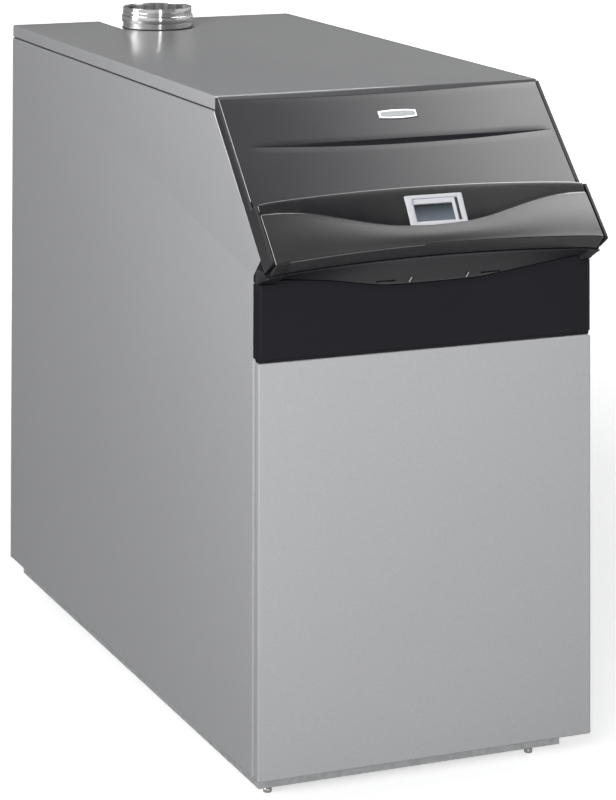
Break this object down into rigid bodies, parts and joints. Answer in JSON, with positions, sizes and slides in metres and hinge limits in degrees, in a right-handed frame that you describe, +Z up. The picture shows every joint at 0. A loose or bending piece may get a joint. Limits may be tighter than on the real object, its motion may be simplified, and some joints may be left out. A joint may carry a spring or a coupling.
{
  "type": "condensing boiler with premix burner",
  "caption": "Floor-standing condensing boiler in a grey steel casing with a black sloping control hood, a flap over the controls, a top flue spigot and a premix burner inside.",
  "frame": {"origin": "on the floor, under the middle of the object's box", "axes": "+X to the right seen from the front, +Y to the rear, +Z up; the hood and front panel face -Y"},
  "size_m": [0.452, 1.0799, 0.876],
  "materials": {
    "casing_paint": "satin grey powder coat on sheet steel",
    "galvanised_sheet": "galvanised sheet, dull",
    "zinc_plated": "zinc plated steel",
    "fascia_black": "deep black, soft gloss",
    "hood_satin": "dark grey satin plastic",
    "flap_textured": "dark grey plastic, fine moulded texture",
    "black_plastic": "black moulded plastic",
    "light_plastic": "light grey plastic",
    "signal_red": "red plastic",
    "clear_pane": "clear pane",
    "lcd_grey": "unlit liquid crystal display",
    "stainless": "bright stainless steel",
    "badge_metal": "plain bright plate",
    "cast_aluminium": "cast, as blasted",
    "rubber_black": "black rubber",
    "ceramic_white": "white ceramic and ceramic fibre",
    "brass": "turned brass",
    "circuit_green": "green lacquered board"
  },
  "bodies": {
    "boiler": {"console_cover": "hood_satin", "badge_plate": "badge_metal", "hinge_pin_left": "zinc_plated", "hinge_pin_right": "zinc_plated", "console_housing": "black_plastic", "control_panel_plate": "black_plastic", "lcd_module": "lcd_grey", "pressure_gauge": "light_plastic", "base_frame": "galvanised_sheet", "left_side_panel": "casing_paint", "right_side_panel": "casing_paint", "rear_panel": "casing_paint", "top_panel": "casing_paint", "lower_fascia": "fascia_black", "control_box": "galvanised_sheet", "circuit_board": "circuit_green", "cross_member": "galvanised_sheet", "heat_exchanger": "cast_aluminium", "exchanger_support": "galvanised_sheet", "condensate_tray": "black_plastic", "flue_duct": "stainless", "flue_seal": "rubber_black", "flue_collar": "stainless", "burner_plate": "cast_aluminium", "burner_gasket": "ceramic_white", "burner_tube": "stainless", "burner_insulation": "ceramic_white", "ignition_electrode": "ceramic_white", "flame_electrode": "ceramic_white", "sight_glass": "clear_pane", "fan_housing": "cast_aluminium", "fan_motor": "black_plastic", "mixture_elbow": "cast_aluminium", "gas_air_mixer": "cast_aluminium", "air_silencer": "black_plastic", "gas_valve": "cast_aluminium", "gas_pipe": "zinc_plated", "flow_pipe": "zinc_plated", "return_pipe": "zinc_plated", "air_vent": "brass", "drain_cock": "brass", "siphon_trap": "light_plastic", "condensate_hose": "rubber_black"},
    "front_panel": {"front_panel": "casing_paint"},
    "control_flap": {"control_flap": "flap_textured", "display_bezel": "light_plastic", "display_window": "clear_pane"},
    "selector_knob": {"selector_knob": "light_plastic"},
    "button_menu": {"button_menu": "light_plastic"},
    "button_down": {"button_down": "light_plastic"},
    "button_up": {"button_up": "light_plastic"},
    "button_reset": {"button_reset": "signal_red"},
    "main_switch": {"main_switch": "black_plastic"},
    "gauge_needle": {"gauge_needle": "signal_red"},
    "fan_impeller": {"fan_impeller": "black_plastic"},
    "drain_lever": {"drain_lever": "signal_red"},
    "foot_front_left": {"foot_front_left": "zinc_plated"},
    "foot_front_right": {"foot_front_right": "zinc_plated"},
    "foot_rear_left": {"foot_rear_left": "zinc_plated"},
    "foot_rear_right": {"foot_rear_right": "zinc_plated"}
  },
  "joints": [
    {"name": "front_panel_pull", "type": "slide", "parent": "boiler", "child": "front_panel", "axis": [0, -1, 0], "range_m": [0, 0.3]},
    {"name": "control_flap_hinge", "type": "hinge", "parent": "boiler", "child": "control_flap", "pos_m": [0, -0.47699, 0.7235], "axis": [-1, 0, 0], "range_deg": [0, 95]},
    {"name": "selector_knob_turn", "type": "hinge", "parent": "boiler", "child": "selector_knob", "pos_m": [-0.112, -0.50315, 0.68319], "axis": [0, -0.7071, 0.7071], "range_deg": [-135, 135]},
    {"name": "button_menu_press", "type": "slide", "parent": "boiler", "child": "button_menu", "axis": [0, 0.7071, -0.7071], "range_m": [0, 0.0015], "stiffness_N_per_m": 400, "springref_m": -0.0005},
    {"name": "button_down_press", "type": "slide", "parent": "boiler", "child": "button_down", "axis": [0, 0.7071, -0.7071], "range_m": [0, 0.0015], "stiffness_N_per_m": 400, "springref_m": -0.0005},
    {"name": "button_up_press", "type": "slide", "parent": "boiler", "child": "button_up", "axis": [0, 0.7071, -0.7071], "range_m": [0, 0.0015], "stiffness_N_per_m": 400, "springref_m": -0.0005},
    {"name": "button_reset_press", "type": "slide", "parent": "boiler", "child": "button_reset", "axis": [0, 0.7071, -0.7071], "range_m": [0, 0.0015], "stiffness_N_per_m": 400, "springref_m": -0.0005},
    {"name": "main_switch_rock", "type": "hinge", "parent": "boiler", "child": "main_switch", "pos_m": [-0.164, -0.49855, 0.68143], "axis": [0, 0.7071, 0.7071], "range_deg": [-7, 7]},
    {"name": "gauge_needle_turn", "type": "hinge", "parent": "boiler", "child": "gauge_needle", "pos_m": [0.124, -0.49254, 0.69239], "axis": [0, 0.7071, -0.7071], "range_deg": [-120, 120]},
    {"name": "fan_impeller_spin", "type": "hinge", "parent": "boiler", "child": "fan_impeller", "pos_m": [0.06, -0.265, 0.295], "axis": [0, 1, 0], "continuous": true},
    {"name": "drain_lever_turn", "type": "hinge", "parent": "boiler", "child": "drain_lever", "pos_m": [0.13, -0.232, 0.2235], "axis": [0, 0, -1], "range_deg": [0, 90]},
    {"name": "foot_front_left_adjust", "type": "slide", "parent": "boiler", "child": "foot_front_left", "axis": [0, 0, -1], "range_m": [-0.01, 0.015]},
    {"name": "foot_front_right_adjust", "type": "slide", "parent": "boiler", "child": "foot_front_right", "axis": [0, 0, -1], "range_m": [-0.01, 0.015]},
    {"name": "foot_rear_left_adjust", "type": "slide", "parent": "boiler", "child": "foot_rear_left", "axis": [0, 0, -1], "range_m": [-0.01, 0.015]},
    {"name": "foot_rear_right_adjust", "type": "slide", "parent": "boiler", "child": "foot_rear_right", "axis": [0, 0, -1], "range_m": [-0.01, 0.015]}
  ]
}
